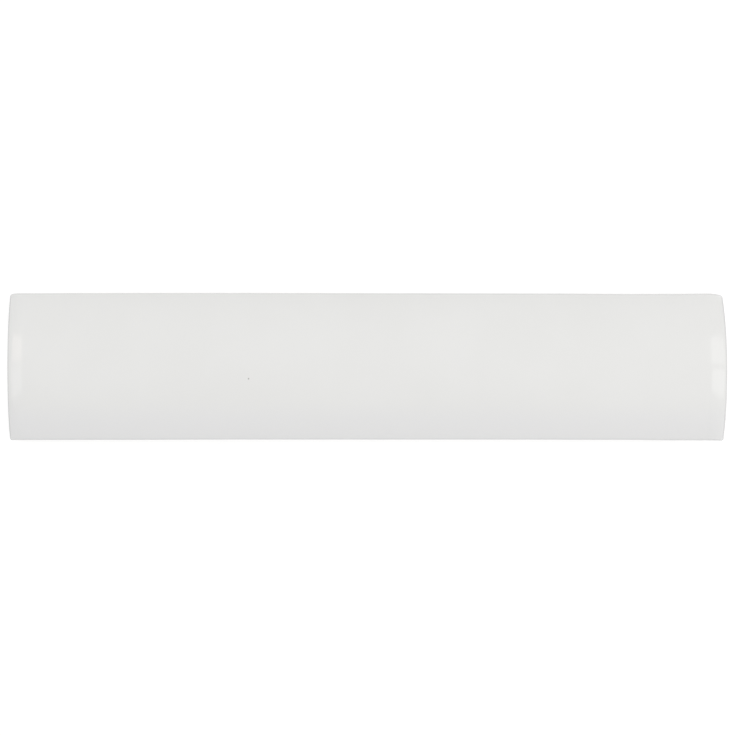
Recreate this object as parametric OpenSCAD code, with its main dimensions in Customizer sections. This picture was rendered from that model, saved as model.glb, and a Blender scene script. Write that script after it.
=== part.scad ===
// Pencil liner tile: a narrow pressed and glazed trim tile.
// Its face is a low dome along the length, each end rolls down over the dome,
// and the flat back has stopped grooves that key it to the adhesive.
// Sizes are in millimetres. The origin is the middle of the back, the length
// lies along X, the width along Y, and +Z goes up to the crown.

/* [Tile] */
// Length over the two end faces
tile_l = 152.4; // [100:0.1:305]
// Width over the two long sides
tile_w = 31.5; // [26:0.1:50]
// Height from the back to the crown of the dome
tile_h = 12.7; // [11:0.1:15]
// Height of the plain long side, from the back to the shoulder
side_h = 7; // [5:0.1:9]

/* [Rolled ends] */
// Length of the roll at each end
roll_l = 3.6; // [2:0.1:8]
// Drop of the roll below the dome at the end face
roll_drop = 1.3; // [0.5:0.1:1.8]

/* [Edges] */
// Radius of the arris along each shoulder
shoulder_r = 0.9; // [0.3:0.1:2]
// Radius of the arris over each end face
end_r = 0.6; // [0.3:0.1:1.2]
// Radius of the four upright corners
corner_r = 0.5; // [0.3:0.1:3]
// Width of the bevel round the foot
foot_bevel = 0.4; // [0.2:0.1:1]

/* [Back grooves] */
// Width of a groove at the back face
groove_w = 4.2; // [2:0.1:6]
// Depth of a groove at its middle
groove_d = 0.9; // [0.4:0.1:1.5]
// Width of the land between two grooves
groove_land = 2; // [1:0.1:4]
// Least plain width between the outer grooves and the long sides
side_land = 4; // [3:0.1:8]
// Plain length between the grooves and the end faces
end_land = 7; // [4:0.5:20]

/* [Hidden] */
$fn = 96;

// How far the cutting shapes stand clear of the tile
clear = 2;

// Radius of the arc that rises by rise over half a chord
function arc_r(half, rise) = (half * half + rise * rise) / (2 * rise);

// Centre of an arris of radius r between a wall and the arc that meets it,
// with the arc's centre at c and the wall parallel to the second axis
function arris_c(c, arc, wall, r) =
    [wall - r, c[1] + sqrt(pow(arc - r, 2) - pow(wall - r - c[0], 2))];

half_l = tile_l / 2;
half_w = tile_w / 2;

// The dome is an arc across the width, turned about an axis along X.
dome_r = arc_r(half_w, tile_h - side_h);
dome_axis_z = tile_h - dome_r;

// The roll is an arc that leaves the dome level and falls to the end face.
roll_r = arc_r(roll_l, roll_drop);

// A groove's section is an arc that stands below the back.
groove_r = arc_r(groove_w / 2, groove_d);
groove_pitch = groove_w + groove_land;
groove_pairs = floor((half_w - side_land + groove_land / 2) / groove_pitch);

// What lies outside an arris: the corner between the wall and the arc,
// cut back to a circle that touches both
module arris_waste(c, arc, wall, r) {
    m = arris_c(c, arc, wall, r);
    out = (m - c) / norm(m - c);
    difference() {
        polygon([
            m,
            [wall, m[1]],
            [wall + clear, m[1]],
            [wall + clear, c[1] + arc + clear],
            c + out * (arc + clear)
        ]);
        translate(m) circle(r);
    }
}

// Half of the tile's long section, from the dome's axis outwards, with the
// distance from the axis as the first direction and the length as the second
module rolled_section() {
    roll_c = [dome_r - roll_r, half_l - roll_l];
    difference() {
        translate([0, -half_l]) square([dome_r, tile_l]);
        for (end = [0, 1]) mirror([0, end]) {
            difference() {
                translate(roll_c) square([roll_r + clear, roll_l + clear]);
                translate(roll_c) circle(roll_r);
            }
            // The waste is drawn with the wall upright, so the two directions
            // are swapped for the end face.
            mirror([1, -1]) arris_waste([roll_c[1], roll_c[0]], roll_r, half_l, end_r);
        }
    }
}

// The round bar whose top is the dome with its rolled ends
module rolled_bar() {
    translate([0, 0, dome_axis_z]) rotate([0, 90, 0])
        rotate_extrude() rolled_section();
}

// The outline in plan, with its upright corners eased
module footprint() {
    square([tile_l - 2 * corner_r, tile_w], center = true);
    square([tile_l, tile_w - 2 * corner_r], center = true);
    for (x = [-1, 1], y = [-1, 1])
        translate([x * (half_l - corner_r), y * (half_w - corner_r)]) circle(corner_r);
}

// What is cut away along one shoulder
module shoulder_waste() {
    rotate([90, 0, 90])
        linear_extrude(tile_l + 2 * clear, center = true)
            arris_waste([0, dome_axis_z], dome_r, half_w, shoulder_r);
}

// What is cut away along one edge of the foot, with the edge along X
module foot_waste(reach, run) {
    rotate([90, 0, 90])
        linear_extrude(run + 2 * clear, center = true)
            polygon([
                [reach - foot_bevel - clear, -clear],
                [reach + clear, -clear],
                [reach + clear, foot_bevel + clear]
            ]);
}

// One keying groove, with round ends
module groove() {
    run = tile_l - 2 * end_land - groove_w;
    translate([0, 0, groove_d - groove_r]) {
        rotate([0, 90, 0]) cylinder(h = run, r = groove_r, center = true);
        for (end = [-1, 1]) translate([end * run / 2, 0, 0]) sphere(groove_r);
    }
}

module back_grooves() {
    for (side = [-1, 1], i = [0 : 1 : groove_pairs - 1])
        translate([0, side * (groove_pitch / 2 + i * groove_pitch), 0]) groove();
}

module pencil_liner() {
    color("ghostwhite") difference() {
        intersection() {
            linear_extrude(tile_h + clear) footprint();
            rolled_bar();
        }
        for (side = [0, 1]) mirror([0, side, 0]) {
            shoulder_waste();
            foot_waste(half_w, tile_l);
        }
        for (end = [0, 1]) mirror([end, 0, 0])
            rotate([0, 0, -90]) foot_waste(half_l, tile_w);
        back_grooves();
    }
}

pencil_liner();
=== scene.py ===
"""A pencil liner tile: the fine mesh of the glazed tile, its finish, and the studio that it lies in.

The tile's shape is one distance function in millimetres. A grid laid over a box is drawn onto it,
so that every edge is eased as pressed and glazed clay is. Meshes and lights are placed in metres.
"""
import math

import bpy
import numpy as np
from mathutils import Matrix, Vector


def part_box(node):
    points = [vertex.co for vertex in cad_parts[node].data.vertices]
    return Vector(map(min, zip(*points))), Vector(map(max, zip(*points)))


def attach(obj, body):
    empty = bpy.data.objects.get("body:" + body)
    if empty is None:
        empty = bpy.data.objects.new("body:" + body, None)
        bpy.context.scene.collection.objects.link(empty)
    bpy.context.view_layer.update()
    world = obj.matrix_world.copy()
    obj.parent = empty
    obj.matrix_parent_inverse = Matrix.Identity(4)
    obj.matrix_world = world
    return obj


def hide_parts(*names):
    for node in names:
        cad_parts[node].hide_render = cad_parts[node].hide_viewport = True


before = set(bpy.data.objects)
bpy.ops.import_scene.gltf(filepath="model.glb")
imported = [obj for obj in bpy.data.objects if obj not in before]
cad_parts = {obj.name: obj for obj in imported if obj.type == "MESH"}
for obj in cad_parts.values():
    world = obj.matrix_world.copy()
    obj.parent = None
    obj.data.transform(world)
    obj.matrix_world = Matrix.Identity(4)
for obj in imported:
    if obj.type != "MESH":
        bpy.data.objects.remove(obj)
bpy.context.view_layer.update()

NODE = "pencil_liner"
MM = 0.001

# Sizes of the tile, in millimetres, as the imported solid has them
low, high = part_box(NODE)
LENGTH, WIDTH, HEIGHT = [(b - a) / MM for a, b in zip(low, high)]
SIDE_H = 7.0
ROLL_L = 3.6
ROLL_DROP = 1.3
SHOULDER_R = 0.9
END_R = 0.6
CORNER_R = 0.5
GROOVE_W = 4.2
GROOVE_D = 0.9
GROOVE_LAND = 2.0
GROOVE_PAIRS = 2
END_LAND = 7.0

# The foot's easing, which stands for the solid's bevel, the easing of the grooves' lips, and the
# shares of a groove's depth between which the back's look changes from land to groove
FOOT_R = 0.35
GROOVE_LIP = 0.06
GROOVE_SHADE = (0.05, 0.6)

# How far the drawn surface starts inside the solid's box, which leaves room for its waviness
ROOM_LONG, ROOM_WIDE, ROOM_HIGH = 0.2, 0.09, 0.03

HALF_L = LENGTH / 2 - ROOM_LONG
HALF_W = WIDTH / 2 - ROOM_WIDE
CROWN = HEIGHT - ROOM_HIGH


def arc_radius(half, rise):
    """Radius of the arc that rises by rise over half a chord."""
    return (half * half + rise * rise) / (2 * rise)


DOME_R = arc_radius(WIDTH / 2, HEIGHT - SIDE_H)
DOME_AXIS_Z = CROWN - DOME_R
ROLL_R = arc_radius(ROLL_L, ROLL_DROP)
ROLL_START = HALF_L - ROLL_L
GROOVE_R = arc_radius(GROOVE_W / 2, GROOVE_D)
GROOVE_PITCH = GROOVE_W + GROOVE_LAND
GROOVE_RUN = LENGTH / 2 - END_LAND - GROOVE_W / 2

# How far from the sharp edge each arris is eased, where the wall meets the dome or the roll aslant,
# and half the width of the band at a corner in which one arris turns into the other
SHOULDER_EASE = SHOULDER_R * (1 - HALF_W / DOME_R)
END_EASE = END_R * (1 - ROLL_L / ROLL_R)
ARRIS_TURN = 1.5

# The glaze: how thick it lies, how high above the back it stops, how far that line wanders, half the
# height of its edge, and the bead that it forms there, with its height above the line and its reach
GLAZE_T = 0.11
GLAZE_LINE = 1.55
GLAZE_WANDER = 0.5
GLAZE_EDGE = 0.12
BEAD = 0.02
BEAD_UP = 0.34
BEAD_REACH = 0.24

# Where the arrises are grey, as painted shade and partly as glaze run back from them, each as where
# this begins and where it is full: by how sharply the surface turns, per millimetre, by the distance
# to the farther of the end face and the roll, negative inside, and by how much nearer the end face is
# than the side, both in millimetres
ARRIS_BEND = (0.6, 2.0)
BY_END_ARRIS = (-0.45, -0.2)
OVER_END = (-1.0, 1.0)

# The same by the place across the width, as a share of half of it: out to either corner of an end,
# and out to the lower side of the right end, where the glaze lies fuller and the painted shade is
# lighter
TO_CORNER = (0.25, 0.75)
TO_LESS_EDGE_SHADE_SIDE = (0.1, 0.6)

# How far the grey reaches along a shoulder and over the middle of an end, as shares of a corner's,
# and how much of that is missing at the side where it is lighter
SHOULDER_SHARE = 0.25
END_SHARE = 0.55
LESS_EDGE_SHADE_SHARE = 0.3

# Waviness of the pressed clay: that of the crown, with the height from which it starts, and where
# each long side, 1 for the upper and -1 for the lower, stands out from a straight line, as (place
# along X, distance out), with the share of half the width from which that starts
CROWN_WAVE = 0.025
CROWN_WAVE_FROM = SIDE_H - 2
SIDE_LINE = {
    1: [(-76, -0.04), (-46, 0.05), (-29, 0.07), (39, 0.02), (56, -0.06), (67, -0.03), (73, 0.05)],
    -1: [(-76, 0.0), (-54, -0.05), (-25, -0.16), (32, -0.2), (54, -0.17), (67, -0.08)],
}
SIDE_LINE_FROM = 0.35

# How far each end face, 1 for the right and -1 for the left, stands out, bows at its crown and is
# out of square, and how far in this reaches
END_OUT = {1: (0.0, 0.15, -0.12), -1: (0.13, -0.2, 0.0)}
END_REACH = 9.0

# How much each corner is eased in plan: right or left end, upper or lower side in the photograph,
# depth and length of the easing, with a depth below zero for a corner that stands out
CORNER_EASE = [
    (1, 1, 0.42, 3.4),
    (1, -1, -0.15, 3.5),
    (-1, 1, 0.20, 1.8),
    (-1, -1, -0.09, 2.6),
]

# The grid's finest part: how far it reaches in from an end face and a side, up from the foot and
# down from the arris
FINE_END = 1.1
FINE_SIDE = 1.3
FINE_FOOT = 2.6
FINE_BROW = 1.1

# The grid's longest steps in plan: along the grooves, from there to the end, across the grooves,
# from there to the side, and in the finest part by the upright edges
STEP_ALONG = 0.8
STEP_TO_END = 0.3
STEP_ACROSS = 0.36
STEP_TO_SIDE = 0.4
STEP_EDGE = 0.11

# Its longest steps up a wall: round the foot's easing, which ends at a height of its own, by the
# glaze's edge, and down from the arris, with the number of steps between those two parts
STEP_FOOT = 0.1
FOOT_TOP = 0.5
STEP_GLAZE_EDGE = 0.15
STEP_BROW = 0.12
MIDDLE_STEPS = 7


def smoothstep(lowest, highest, v):
    """A smooth rise from 0 at the lowest value to 1 at the highest."""
    t = np.clip((v - lowest) / (highest - lowest), 0, 1)
    return t * t * (3 - 2 * t)


def round_max(a, b, r):
    """The larger of two distances, with the edge where they meet rounded to radius r."""
    return np.minimum(np.maximum(a, b), -r) + np.hypot(np.maximum(a + r, 0), np.maximum(b + r, 0))


def waves(seed, shortest, longest, count=7):
    """A smooth random function of x and y, from -1 to 1, with wavelengths in that range."""
    rng = np.random.default_rng(seed)
    pace = math.tau / rng.uniform(shortest, longest, count)
    heading, phase = rng.uniform(0, math.tau, (2, count))

    def value(x, y):
        terms = zip(pace * np.cos(heading), pace * np.sin(heading), phase)
        return sum(np.sin(kx * x + ky * y + start) for kx, ky, start in terms) / count

    return value


glaze_wander = waves(seed=3, shortest=7, longest=40)
crown_wander = waves(seed=17, shortest=14, longest=60)


def along_line(line, x):
    """The smooth curve through a list of places and values."""
    places, values = np.array(line).T
    n = np.clip(np.searchsorted(places, x) - 1, 0, len(places) - 2)
    share = smoothstep(0, 1, (x - places[n]) / (places[n + 1] - places[n]))
    return values[n] + (values[n + 1] - values[n]) * share


def glaze_line(x, y):
    """Height above the back at which the glaze stops, round the sides."""
    return GLAZE_LINE + GLAZE_WANDER * glaze_wander(x, y)


def groove_depth(x, y):
    """How deep the keying grooves are at a place on the back, with their lips eased."""
    row = np.clip(np.round(np.abs(y) / GROOVE_PITCH - 0.5), 0, GROOVE_PAIRS - 1)
    across = np.abs(y) - (row + 0.5) * GROOVE_PITCH
    reach = np.hypot(np.maximum(np.abs(x) - GROOVE_RUN, 0), across)
    depth = np.sqrt(np.maximum(GROOVE_R**2 - reach**2, 0)) - (GROOVE_R - GROOVE_D)
    return (depth + np.hypot(depth, GROOVE_LIP)) / 2


def parts_of_surface(x, y, z):
    """Distances to the side, the end face, the glazed walls and the rolled dome, negative inside."""
    side, end = np.abs(y) - HALF_W, np.abs(x) - HALF_L
    above = z - glaze_line(x, y)
    glaze = GLAZE_T * smoothstep(-GLAZE_EDGE, GLAZE_EDGE, above)
    glaze += BEAD * np.exp(-(((above - BEAD_UP) / BEAD_REACH) ** 2))
    walls = round_max(side, end, CORNER_R) + GLAZE_T - glaze
    out = np.maximum(np.hypot(y, z - DOME_AXIS_Z) - (DOME_R - ROLL_R), 0)
    along = np.maximum(np.abs(x) - ROLL_START, 0)
    dome = np.hypot(along, out) - ROLL_R
    return side, end, walls, dome


def surface(p):
    """Distance from the tile's surface in millimetres, negative inside."""
    x, y, z = p.T
    side, end, walls, dome = parts_of_surface(x, y, z)
    over_end = smoothstep(-ARRIS_TURN, ARRIS_TURN, end - side)
    ease = SHOULDER_EASE + (END_EASE - SHOULDER_EASE) * over_end
    top = round_max(walls, dome, ease)
    return round_max(top, groove_depth(x, y) - z, FOOT_R)


def slope(p, step=0.01):
    """Gradient of the distance."""
    return np.stack(
        [(surface(p + d) - surface(p - d)) / (2 * step) for d in np.eye(3) * step], axis=1
    )


def bend(p, step=0.08):
    """How sharply the surface turns: the sum of its two curvatures, per millimetre."""
    ring = sum(surface(p + d) + surface(p - d) for d in np.eye(3) * step)
    return (ring - 6 * surface(p)) / step**2


def glaze_run_back_and_edge_shade(p):
    """How grey an arris is, as painted shade and partly as glaze run back from it, most at the ends'
    corners.
    """
    x, y, z = p.T
    side, end, _, dome = parts_of_surface(x, y, z)
    on_arris = smoothstep(*ARRIS_BEND, bend(p))
    by_end_arris = smoothstep(*BY_END_ARRIS, np.minimum(end, dome))
    over_end = smoothstep(*OVER_END, end - side)
    to_corner = smoothstep(*TO_CORNER, np.abs(y) / HALF_W)
    less_edge_shade = LESS_EDGE_SHADE_SHARE * smoothstep(*TO_LESS_EDGE_SHADE_SIDE, -y / HALF_W) * (x > 0)
    amount = (END_SHARE + (1 - END_SHARE) * to_corner) * (1 - less_edge_shade)
    from_end = over_end * np.maximum(on_arris, by_end_arris) * amount
    return np.maximum(SHOULDER_SHARE * on_arris, from_end)


def draw_onto_surface(p, rounds=8, least_slope=0.2):
    """Moves points along the slope onto the surface, by Newton's steps."""
    for _ in range(rounds):
        g = slope(p)
        p = p - (surface(p) / np.maximum((g * g).sum(1), least_slope))[:, None] * g
    return p


def graded(stops, rounding=1e-6):
    """Places from 0 outwards: each stop is (place to reach, longest step on the way)."""
    places = [0.0]
    for reach, step in stops:
        count = math.ceil((reach - places[-1]) / step - rounding)
        places += list(np.linspace(places[-1], reach, count + 1)[1:])
    return np.array(places)


def both_ways(half):
    """Places on both sides of the middle, from those on one side."""
    return np.concatenate([-half[:0:-1], half])


def sharp_top(x, y):
    """Height of the rolled dome above a place in plan, before its edges are rounded."""
    along = np.maximum(np.abs(x) - ROLL_START, 0)
    out = DOME_R - ROLL_R + np.sqrt(ROLL_R**2 - along**2)
    return DOME_AXIS_Z + np.sqrt(out**2 - y**2)


def levels():
    """Heights of the grid's rows up a wall, each as (plain height, share of the wall's top)."""
    rows = [(z, 0.0) for z in graded([(FOOT_TOP, STEP_FOOT), (FINE_FOOT, STEP_GLAZE_EDGE)])]
    for share in np.arange(1, MIDDLE_STEPS) / MIDDLE_STEPS:
        rows.append((FINE_FOOT * (1 - share) - FINE_BROW * share, share))
    rows += [(-z, 1.0) for z in graded([(FINE_BROW, STEP_BROW)])[::-1]]
    return np.array(rows)


def box_grid():
    """The grid's points on the sharp-edged tile, and its four-sided faces, turned outwards."""
    inner_lips = [GROOVE_LAND / 2 + n * GROOVE_PITCH for n in range(GROOVE_PAIRS)]
    long_stops = [(GROOVE_RUN, STEP_ALONG), (HALF_L - FINE_END, STEP_TO_END), (HALF_L, STEP_EDGE)]
    wide_stops = [(lip + d, STEP_ACROSS) for lip in inner_lips for d in (0, GROOVE_W)]
    wide_stops += [(HALF_W - FINE_SIDE, STEP_TO_SIDE), (HALF_W, STEP_EDGE)]
    xs = both_ways(graded(long_stops))
    ys = both_ways(graded(wide_stops))
    rows = levels()
    last = [len(xs) - 1, len(ys) - 1, len(rows) - 1]
    i, j, k = np.indices((len(xs), len(ys), len(rows)))
    skin = (i % last[0] == 0) | (j % last[1] == 0) | (k % last[2] == 0)
    ids = np.full(skin.shape, -1)
    ids[skin] = np.arange(skin.sum())
    x, y = xs[i[skin]], ys[j[skin]]
    plain, share = rows[k[skin]].T
    points = np.stack([x, y, plain + share * sharp_top(x, y)], axis=1)

    def quads(sheet, turned):
        corners = [sheet[:-1, :-1], sheet[1:, :-1], sheet[1:, 1:], sheet[:-1, 1:]]
        faces = np.stack([c.ravel() for c in corners], axis=1)
        return faces[:, ::-1] if turned else faces

    faces = [
        quads(ids[:, :, -1], False),
        quads(ids[:, :, 0], True),
        quads(ids[:, 0, :], False),
        quads(ids[:, -1, :], True),
        quads(ids[-1, :, :], False),
        quads(ids[0, :, :], True),
    ]
    return points, np.concatenate(faces)


def hand_of_the_maker(p):
    """Moves the true surface by the small errors of pressing and firing."""
    x, y, z = p.T
    outer = smoothstep(SIDE_LINE_FROM, 1, np.abs(y) / HALF_W)
    out = np.where(y > 0, along_line(SIDE_LINE[1], x), along_line(SIDE_LINE[-1], x))
    for end, side, depth, reach in CORNER_EASE:
        near = np.clip(1 - (HALF_L - end * x) / reach, 0, 1) ** 2
        out -= depth * near * (side * y > 0)
    dy = np.sign(y) * outer * out
    right, left = np.array([END_OUT[1], END_OUT[-1]])[:, :, None]
    shift, bow, skew = np.where(x > 0, right, left)
    at_end = smoothstep(HALF_L - END_REACH, HALF_L, np.abs(x))
    dx = np.sign(x) * at_end * (shift + bow * (1 - (y / HALF_W) ** 2) + skew * y / HALF_W)
    dz = CROWN_WAVE * crown_wander(x, y) * smoothstep(CROWN_WAVE_FROM, HEIGHT, z)
    return p + np.stack([dx, dy, dz], axis=1)


def add_attribute(mesh, name, values):
    """A number for each of the mesh's points, for the material to read."""
    data = mesh.attributes.new(name, "FLOAT", "POINT").data
    data.foreach_set("value", np.ascontiguousarray(values, dtype=np.float32))


def make_tile(material):
    """The whole tile as one closed mesh."""
    points, faces = box_grid()
    points = draw_onto_surface(points)
    x, y, z = points.T
    mesh = bpy.data.meshes.new("glazed_tile")
    mesh.from_pydata((hand_of_the_maker(points) * MM).tolist(), [], faces.tolist())
    mesh.polygons.foreach_set("use_smooth", [True] * len(mesh.polygons))
    add_attribute(mesh, "above_glaze_line", z - glaze_line(x, y))
    # The arrises' grey: painted shade, and partly glaze that has run back
    add_attribute(mesh, "arris", glaze_run_back_and_edge_shade(points))
    add_attribute(mesh, "in_groove", smoothstep(*GROOVE_SHADE, groove_depth(x, y) / GROOVE_D))
    mesh.materials.append(material)
    tile = bpy.data.objects.new("glazed_tile", mesh)
    bpy.context.scene.collection.objects.link(tile)
    return tile


# Colours, linear
GLAZE = (0.804, 0.80, 0.785, 1)
GLAZE_DEEP = (0.794, 0.79, 0.774, 1)
# Painted shade: the cool tint of the lower side, which lies in cooler light
PAINTED_COOL_SHADE = (0.791, 0.7867, 0.785, 1)
# Grey of thin glaze at its line, also used as painted shade along the arrises
GLAZE_THIN_AND_EDGE_SHADE = (0.632, 0.635, 0.631, 1)
BISQUE = (0.75, 0.69, 0.61, 1)
BISQUE_DARK = (0.66, 0.59, 0.50, 1)
GROG = (0.50, 0.44, 0.36, 1)
KILN_WASH = (0.80, 0.79, 0.76, 1)
PINHOLE = (0.36, 0.35, 0.33, 1)
WHITE = (1, 1, 1, 1)

# The one pinhole in the glaze, on the crown: its place, radius and depth, in millimetres, and where
# its rim begins and ends, as shares of its radius
PINHOLE_AT = (-24.9, -2.53, CROWN)
PINHOLE_R = 0.19
PINHOLE_D = 0.05
PINHOLE_RIM = (0.6, 1.4)

# Painted shade: where the glaze's colour turns cool on the lower side, in millimetres along Y, and how
# far it does
COOL_SHADE_BAND = (-12, -6.5)
COOL_SHADE_SHARE = 0.8

# Half the height over which the glaze's colour stops at its line, how thin the glaze looks at the
# line, as a share, and how high above it that ends, with both heights in millimetres
LINE_BLUR = 0.05
LINE_THIN_SHARE = 0.28
LINE_THIN_TO = 0.3

# Noise in the glaze, in cells for each metre: its tone, its gloss and its ripple, with the range of
# the noise that is used, the range of the gloss's roughness and the ripple's height in millimetres
TONE_CELLS = 70
GLOSS_CELLS = 160
RIPPLE_CELLS = 110
GLAZE_NOISE = (0.3, 0.7)
GLAZE_ROUGHNESS = (0.045, 0.08)
RIPPLE_H = 0.03

# The bare body, in the same way: its clouds of tone, and its grain, which makes specks of grog and
# pores, with the specks' share of the colour, the pores' height, and how much rougher it is than glaze
CLOUD_CELLS = 130
CLOUD_NOISE = (0.3, 0.8)
GRAIN_CELLS = 2600
GROG_NOISE = (0.60, 0.72)
GROG_SHARE = 0.7
PORE_H = 0.06
BODY_ROUGHNESS = 0.8

# The kiln wash on its back, in the same way, with its share of the colour, and the heights in
# millimetres between which it ends; as it lies only on the lands, the grooves stay darker, partly as
# painted shade
WASH_CELLS = 520
WASH_NOISE = (0.40, 0.66)
WASH_SHARE = 0.6
WASH_TOP = (0.1, 0.4)


def add(tree, kind, inputs, **settings):
    """A new node with its settings, its inputs set to values or linked to sockets."""
    node = tree.nodes.new(kind)
    for name, value in settings.items():
        setattr(node, name, value)
    for name, value in inputs.items():
        if isinstance(value, bpy.types.NodeSocket):
            tree.links.new(value, node.inputs[name])
        else:
            node.inputs[name].default_value = value
    return node


def noise(tree, where, cells, detail=2.0):
    """Noise from about 0 to 1, with so many cells for each metre."""
    node = add(tree, "ShaderNodeTexNoise", {"Vector": where, "Scale": cells, "Detail": detail})
    return node.outputs["Fac"]


def spread(tree, value, lowest, highest, to_low=0.0, to_high=1.0):
    """A value mapped smoothly from one range to another."""
    ranges = {"From Min": lowest, "From Max": highest, "To Min": to_low, "To Max": to_high}
    node = add(tree, "ShaderNodeMapRange", {"Value": value, **ranges})
    node.interpolation_type = "SMOOTHSTEP"
    return node.outputs["Result"]


def blend(tree, share, a, b):
    """Colour a where share is 0 and colour b where it is 1."""
    node = tree.nodes.new("ShaderNodeMix")
    node.data_type = "RGBA"
    ends = {"Factor_Float": share, "A_Color": a, "B_Color": b}
    for socket in node.inputs:
        value = ends.get(socket.identifier)
        if isinstance(value, bpy.types.NodeSocket):
            tree.links.new(value, socket)
        elif value is not None:
            socket.default_value = value
    return next(o for o in node.outputs if o.identifier == "Result_Color")


def sums(tree, how, a, b):
    """One step of arithmetic on two values."""
    return add(tree, "ShaderNodeMath", {0: a, 1: b}, operation=how).outputs[0]


def times(tree, a, b):
    """The product of two values."""
    return sums(tree, "MULTIPLY", a, b)


def reading(tree, name):
    """The number that the mesh carries under that name."""
    return add(tree, "ShaderNodeAttribute", {}, attribute_name=name).outputs["Fac"]


def glaze_colour(tree, where, place, above, pit):
    """White, with a slow drift of tone, a cool painted shade on the lower side, and greyer along the
    arrises, as painted shade and partly as thinner glaze, and where it lies thinner at its line.
    """
    drift = spread(tree, noise(tree, where, TONE_CELLS), *GLAZE_NOISE)
    cool_from, cool_to = [v * MM for v in COOL_SHADE_BAND]
    # Painted shade: the glaze turns cool towards the lower side
    cool_shade = spread(tree, place["Y"], cool_from, cool_to, COOL_SHADE_SHARE, 0.0)
    at_line = spread(tree, above, 0.0, LINE_THIN_TO, LINE_THIN_SHARE, 0.0)
    # Painted shade along the arrises, and thin glaze at the glaze line
    thin_glaze_and_edge_shade = sums(tree, "MAXIMUM", reading(tree, "arris"), at_line)
    colour = blend(tree, drift, GLAZE, GLAZE_DEEP)
    colour = blend(tree, cool_shade, colour, PAINTED_COOL_SHADE)
    colour = blend(tree, thin_glaze_and_edge_shade, colour, GLAZE_THIN_AND_EDGE_SHADE)
    return blend(tree, pit, colour, PINHOLE)


def body_colour(tree, where, place, grain):
    """Buff with specks of grog, and kiln wash on the lands of the back, so the grooves stay darker,
    partly as painted shade.
    """
    cloud = spread(tree, noise(tree, where, CLOUD_CELLS, detail=3.0), *CLOUD_NOISE)
    body = blend(tree, cloud, BISQUE, BISQUE_DARK)
    specks = times(tree, spread(tree, grain, *GROG_NOISE), GROG_SHARE)
    body = blend(tree, specks, body, GROG)
    # Kiln wash on the lands only: the grooves stay darker, partly as painted shade in them
    land = sums(tree, "SUBTRACT", 1.0, reading(tree, "in_groove"))
    patches = noise(tree, where, WASH_CELLS, detail=5.0)
    wash = spread(tree, patches, *WASH_NOISE, 0.0, WASH_SHARE)
    full_to, none_from = [v * MM for v in WASH_TOP]
    low_down = spread(tree, place["Z"], full_to, none_from, 1, 0)
    return blend(tree, times(tree, times(tree, wash, land), low_down), body, KILN_WASH)


def glazed_clay():
    """White gloss glaze over a pale bisque body, which is bare below the glaze line."""
    material = bpy.data.materials.new("glazed_clay")
    material.use_nodes = True
    tree = material.node_tree
    shader = tree.nodes["Principled BSDF"]
    where = add(tree, "ShaderNodeTexCoord", {}).outputs["Object"]
    place = add(tree, "ShaderNodeSeparateXYZ", {"Vector": where}).outputs
    above = reading(tree, "above_glaze_line")
    glazed = spread(tree, above, -LINE_BLUR, LINE_BLUR)
    bare = sums(tree, "SUBTRACT", 1.0, glazed)

    spot = tuple(v * MM for v in PINHOLE_AT)
    gap = add(tree, "ShaderNodeVectorMath", {0: where, 1: spot}, operation="DISTANCE")
    rim = [share * PINHOLE_R * MM for share in PINHOLE_RIM]
    pit = spread(tree, gap.outputs["Value"], *rim, 1, 0)
    grain = noise(tree, where, GRAIN_CELLS, detail=4.0)
    body = body_colour(tree, where, place, grain)
    glaze = glaze_colour(tree, where, place, above, pit)
    tree.links.new(blend(tree, glazed, body, glaze), shader.inputs["Base Color"])

    gloss = noise(tree, where, GLOSS_CELLS, detail=3.0)
    sheen = spread(tree, gloss, *GLAZE_NOISE, *GLAZE_ROUGHNESS)
    roughness = sums(tree, "ADD", sheen, times(tree, bare, BODY_ROUGHNESS))
    tree.links.new(roughness, shader.inputs["Roughness"])

    swell = noise(tree, where, RIPPLE_CELLS, detail=1.0)
    ripple = times(tree, times(tree, swell, RIPPLE_H), glazed)
    pores = times(tree, times(tree, grain, PORE_H), bare)
    relief = sums(tree, "SUBTRACT", sums(tree, "ADD", ripple, pores), times(tree, pit, PINHOLE_D))
    bump = add(tree, "ShaderNodeBump", {"Height": relief, "Distance": MM})
    tree.links.new(bump.outputs["Normal"], shader.inputs["Normal"])
    return material


# Light, as shares of a light at which a colour renders as written: a faintly cool sky, a warm key
# that stands high to the right, and a low fill from the left
WORLD_LIGHT = 0.774
WORLD_TINT = (0.9935, 1, 1.007, 1)
KEY_LIGHT = 0.211
KEY_TINT = (1.014, 1, 0.983)
FILL_LIGHT = 0.0465

# How far the panes stand beyond the ends, in metres, and the warm tint of one of them
WINDOW_DISTANCE = 0.9
WINDOW_TINT = (1.17, 1.01, 0.92)

# The floor: its length and width in metres, what it bounces onto the tile, and what it shows, which
# is a dim shade that takes the tile's shadow, with a glow that brings it up to white
FLOOR_SIZE = 6.0
FLOOR_BOUNCE = (0.8, 0.8, 0.8, 1)
FLOOR_SHADE = (0.35, 0.35, 0.35, 1)
FLOOR_GLOW = 0.74


def seen_plainly(tree):
    """1 for rays from the camera, a gloss or a glass, and 0 for the rest."""
    path = add(tree, "ShaderNodeLightPath", {}).outputs
    gloss = sums(tree, "MAXIMUM", path["Is Glossy Ray"], path["Is Transmission Ray"])
    return sums(tree, "MAXIMUM", path["Is Camera Ray"], gloss)


def make_world():
    """A sky that is white to look at, and dimmer as a light."""
    world = bpy.data.worlds.new("studio")
    world.use_nodes = True
    tree = world.node_tree
    plainly = seen_plainly(tree)
    background = tree.nodes["Background"]
    tree.links.new(blend(tree, plainly, WORLD_TINT, WHITE), background.inputs["Color"])
    tree.links.new(spread(tree, plainly, 0, 1, WORLD_LIGHT, 1.0), background.inputs["Strength"])
    bpy.context.scene.world = world


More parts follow.
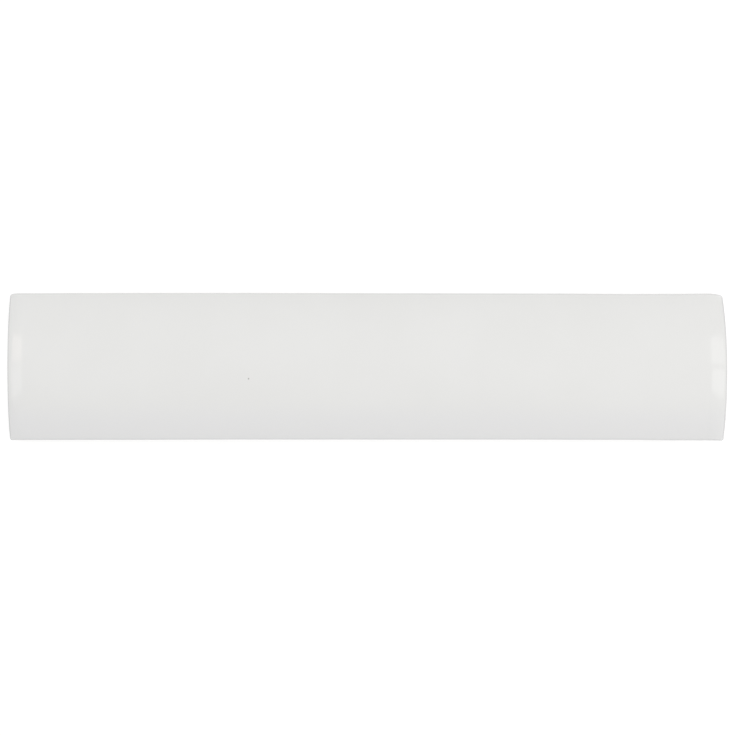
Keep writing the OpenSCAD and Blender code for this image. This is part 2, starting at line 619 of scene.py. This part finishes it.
def make_floor():
    """A white floor, on which the tile's shadow shows softly."""
    mesh = bpy.data.meshes.new("floor")
    half = FLOOR_SIZE / 2
    corners = [(-half, -half, 0), (half, -half, 0), (half, half, 0), (-half, half, 0)]
    mesh.from_pydata(corners, [], [(0, 1, 2, 3)])
    floor = bpy.data.objects.new("floor", mesh)
    bpy.context.scene.collection.objects.link(floor)
    material = bpy.data.materials.new("floor")
    material.use_nodes = True
    tree = material.node_tree
    tree.nodes.remove(tree.nodes["Principled BSDF"])
    bounce = add(tree, "ShaderNodeBsdfDiffuse", {"Color": FLOOR_BOUNCE})
    shadow = add(tree, "ShaderNodeBsdfDiffuse", {"Color": FLOOR_SHADE})
    glow = add(tree, "ShaderNodeEmission", {"Color": WHITE, "Strength": FLOOR_GLOW})
    shown = add(tree, "ShaderNodeAddShader", {0: shadow.outputs[0], 1: glow.outputs[0]})
    both = {0: seen_plainly(tree), 1: bounce.outputs[0], 2: shown.outputs[0]}
    mix = add(tree, "ShaderNodeMixShader", both)
    tree.links.new(mix.outputs[0], tree.nodes["Material Output"].inputs["Surface"])
    mesh.materials.append(material)


def point_at(thing, place, target):
    """Puts a light at a place, facing a target, with its own X axis level."""
    back = [a - b for a, b in zip(place, target)]
    thing.location = place
    across = math.hypot(back[0], back[1])
    thing.rotation_euler = (
        math.atan2(across, back[2]),
        0,
        math.atan2(back[1], back[0]) + math.pi / 2,
    )


def panel(name, lean, heading, distance, size, radiance, target=(0, 0, 0.01)):
    """A flat lamp: lean is its angle from overhead and heading its bearing from +X, in degrees."""
    lamp = bpy.data.lights.new(name, "AREA")
    lamp.shape = "RECTANGLE"
    lamp.size, lamp.size_y = size
    lamp.energy = radiance * math.pi * size[0] * size[1]
    thing = bpy.data.objects.new(name, lamp)
    bpy.context.scene.collection.objects.link(thing)
    tilt, turn = math.radians(lean), math.radians(heading)
    way = (math.sin(tilt) * math.cos(turn), math.sin(tilt) * math.sin(turn), math.cos(tilt))
    point_at(thing, [t + distance * w for t, w in zip(target, way)], target)
    thing.visible_camera = False
    return thing


def softbox(name, share, lean, heading, distance, size, tint=(1, 1, 1)):
    """A square lamp that gives its share of the light on a level face, and no highlight."""
    facing = (size / distance) ** 2 * math.cos(math.radians(lean)) / math.pi
    lamp = panel(name, lean, heading, distance, (size, size), share / facing)
    lamp.data.color = tint
    lamp.visible_glossy = False


def end_window(name, end, side, facing, leans, sideways, radiance, tint=(1, 1, 1)):
    """One pane beyond an end, to one side of the middle, which shows as a highlight in the roll.

    The pane squarely faces the end from the lean facing, and its edges are seen from the end in
    the directions leans, down from overhead, and sideways, from the middle: all in degrees.
    """
    top, bottom = [WINDOW_DISTANCE * math.tan(math.radians(lean - facing)) for lean in leans]
    inner, outer = [WINDOW_DISTANCE * math.tan(math.radians(angle)) for angle in sideways]
    foot = (end * HALF_L * MM, 0, CROWN * MM)
    size = (outer - inner, bottom - top)
    pane = panel(name, facing, 0 if end > 0 else 180, WINDOW_DISTANCE, size, radiance, foot)
    down = (top + bottom) / 2
    tilt = math.radians(facing)
    pane.location.x += end * down * math.cos(tilt)
    pane.location.y += side * (inner + outer) / 2
    pane.location.z -= down * math.sin(tilt)
    pane.data.color = tint
    pane.visible_diffuse = False


def make_lights():
    """Two softboxes, and the panes that the rolled ends reflect: two on the right, three left."""
    softbox("key", KEY_LIGHT, lean=32.4, heading=6.4, distance=0.575, size=0.4, tint=KEY_TINT)
    softbox("fill", FILL_LIGHT, lean=65, heading=163, distance=0.505, size=0.28)
    end_window(
        "right_window_upper", end=1, side=1,
        facing=23, leans=(8.7, 72), sideways=(3.5, 30.4), radiance=1.1,
    )
    end_window(
        "right_window_lower", end=1, side=-1,
        facing=43, leans=(12, 72), sideways=(1.5, 25.8), radiance=1.18,
    )
    end_window(
        "left_window_upper", end=-1, side=1,
        facing=25, leans=(15, 62), sideways=(4.8, 30.4), radiance=1.27, tint=WINDOW_TINT,
    )
    end_window(
        "left_window_middle", end=-1, side=-1,
        facing=35, leans=(15, 64), sideways=(-4.6, 2.2), radiance=0.48,
    )
    end_window(
        "left_window_lower", end=-1, side=-1,
        facing=45, leans=(15, 66), sideways=(2.2, 26.5), radiance=0.97,
    )


# The camera, straight above the tile: height and place in metres, lens and film width in
# millimetres, turn in degrees, and the nearest and farthest that it sees, in metres
CAMERA_ABOVE = 0.572
CAMERA_AT = (0.00026, -0.00023)
CAMERA_LENS = 129.9
CAMERA_FILM = 36.0
CAMERA_ROLL = 0.06
CAMERA_NEAR, CAMERA_FAR = 0.01, 50


def make_camera():
    """The photograph's view, straight down."""
    camera = bpy.data.cameras.new("camera")
    camera.lens = CAMERA_LENS
    camera.sensor_width = CAMERA_FILM
    camera.clip_start, camera.clip_end = CAMERA_NEAR, CAMERA_FAR
    thing = bpy.data.objects.new("camera", camera)
    bpy.context.scene.collection.objects.link(thing)
    thing.location = (*CAMERA_AT, CAMERA_ABOVE)
    thing.rotation_euler = (0, 0, math.radians(CAMERA_ROLL))
    bpy.context.scene.camera = thing


tile = make_tile(glazed_clay())
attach(tile, "root")
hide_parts(NODE)
make_floor()
make_world()
make_lights()
make_camera()
bpy.context.scene.view_settings.view_transform = "Standard"

bpy.context.view_layer.update()
